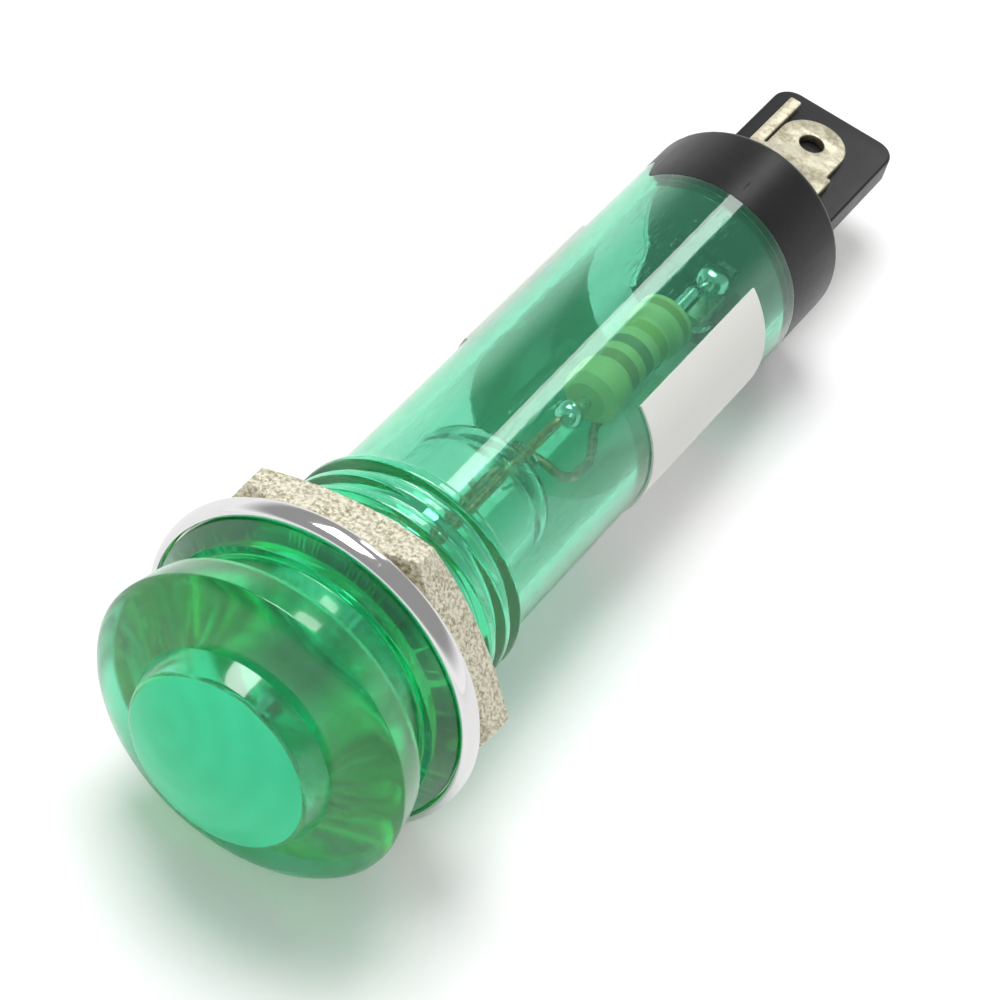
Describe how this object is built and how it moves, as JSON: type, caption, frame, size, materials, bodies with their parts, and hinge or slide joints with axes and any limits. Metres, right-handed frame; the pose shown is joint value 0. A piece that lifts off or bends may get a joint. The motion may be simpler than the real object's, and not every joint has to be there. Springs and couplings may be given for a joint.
{
  "type": "panel pilot light",
  "caption": "Clear green panel pilot light: lens barrel with a threaded neck, bezel ring and hex nut, wired neon lamp inside, solder lugs on a rear barrier.",
  "frame": {"origin": "on the lamp's axis, in the plane where the bezel ring's back meets the front of the panel", "axes": "+Y along the axis from the lens to the lugs, +Z square to the barrier on the upper lug's side, +X to the right seen from the front"},
  "size_m": [0.0142, 0.0479, 0.014],
  "materials": {
    "green_plastic": "clear green polycarbonate, polished",
    "chrome_plate": "polished chrome plate",
    "nickel_plate": "rough grained nickel plate",
    "label_film": "white film label, bare",
    "black_moulding": "black moulding, slightly glossy",
    "tinned_brass": "tinned brass strip",
    "lamp_glass": "clear soda glass",
    "electrode_nickel": "coated nickel",
    "copper_lead": "copper-coated wire",
    "sleeve_plastic": "translucent sleeve",
    "resistor_coat": "tan lacquer",
    "tinned_wire": "tinned copper wire",
    "solder": "bright solder"
  },
  "bodies": {
    "lamp": {"lens_barrel": "green_plastic", "label": "label_film", "end_plug": "black_moulding", "upper_lug": "tinned_brass", "lower_lug": "tinned_brass", "neon_glass": "lamp_glass", "left_electrode": "electrode_nickel", "right_electrode": "electrode_nickel", "resistor_side_lead": "copper_lead", "return_lead": "copper_lead", "return_sleeve": "sleeve_plastic", "resistor_body": "resistor_coat", "resistor_front_lead": "tinned_wire", "resistor_rear_lead": "tinned_wire", "splice_solder": "solder", "upper_solder": "solder", "lower_solder": "solder"},
    "ring": {"bezel_ring": "chrome_plate"},
    "nut": {"hex_nut": "nickel_plate"}
  },
  "joints": [
    {"name": "ring_slide", "type": "slide", "parent": "lamp", "child": "ring", "axis": [0, 1, 0], "range_m": [0, 0.004]},
    {"name": "nut_turn", "type": "hinge", "parent": "ring", "child": "nut", "pos_m": [0, 0, 0], "axis": [0, 1, 0], "range_deg": [0, 1440]}
  ],
  "couplings": [
    {"joint": "nut_turn", "follows": "ring_slide", "rad_per_m": 6283.2}
  ]
}
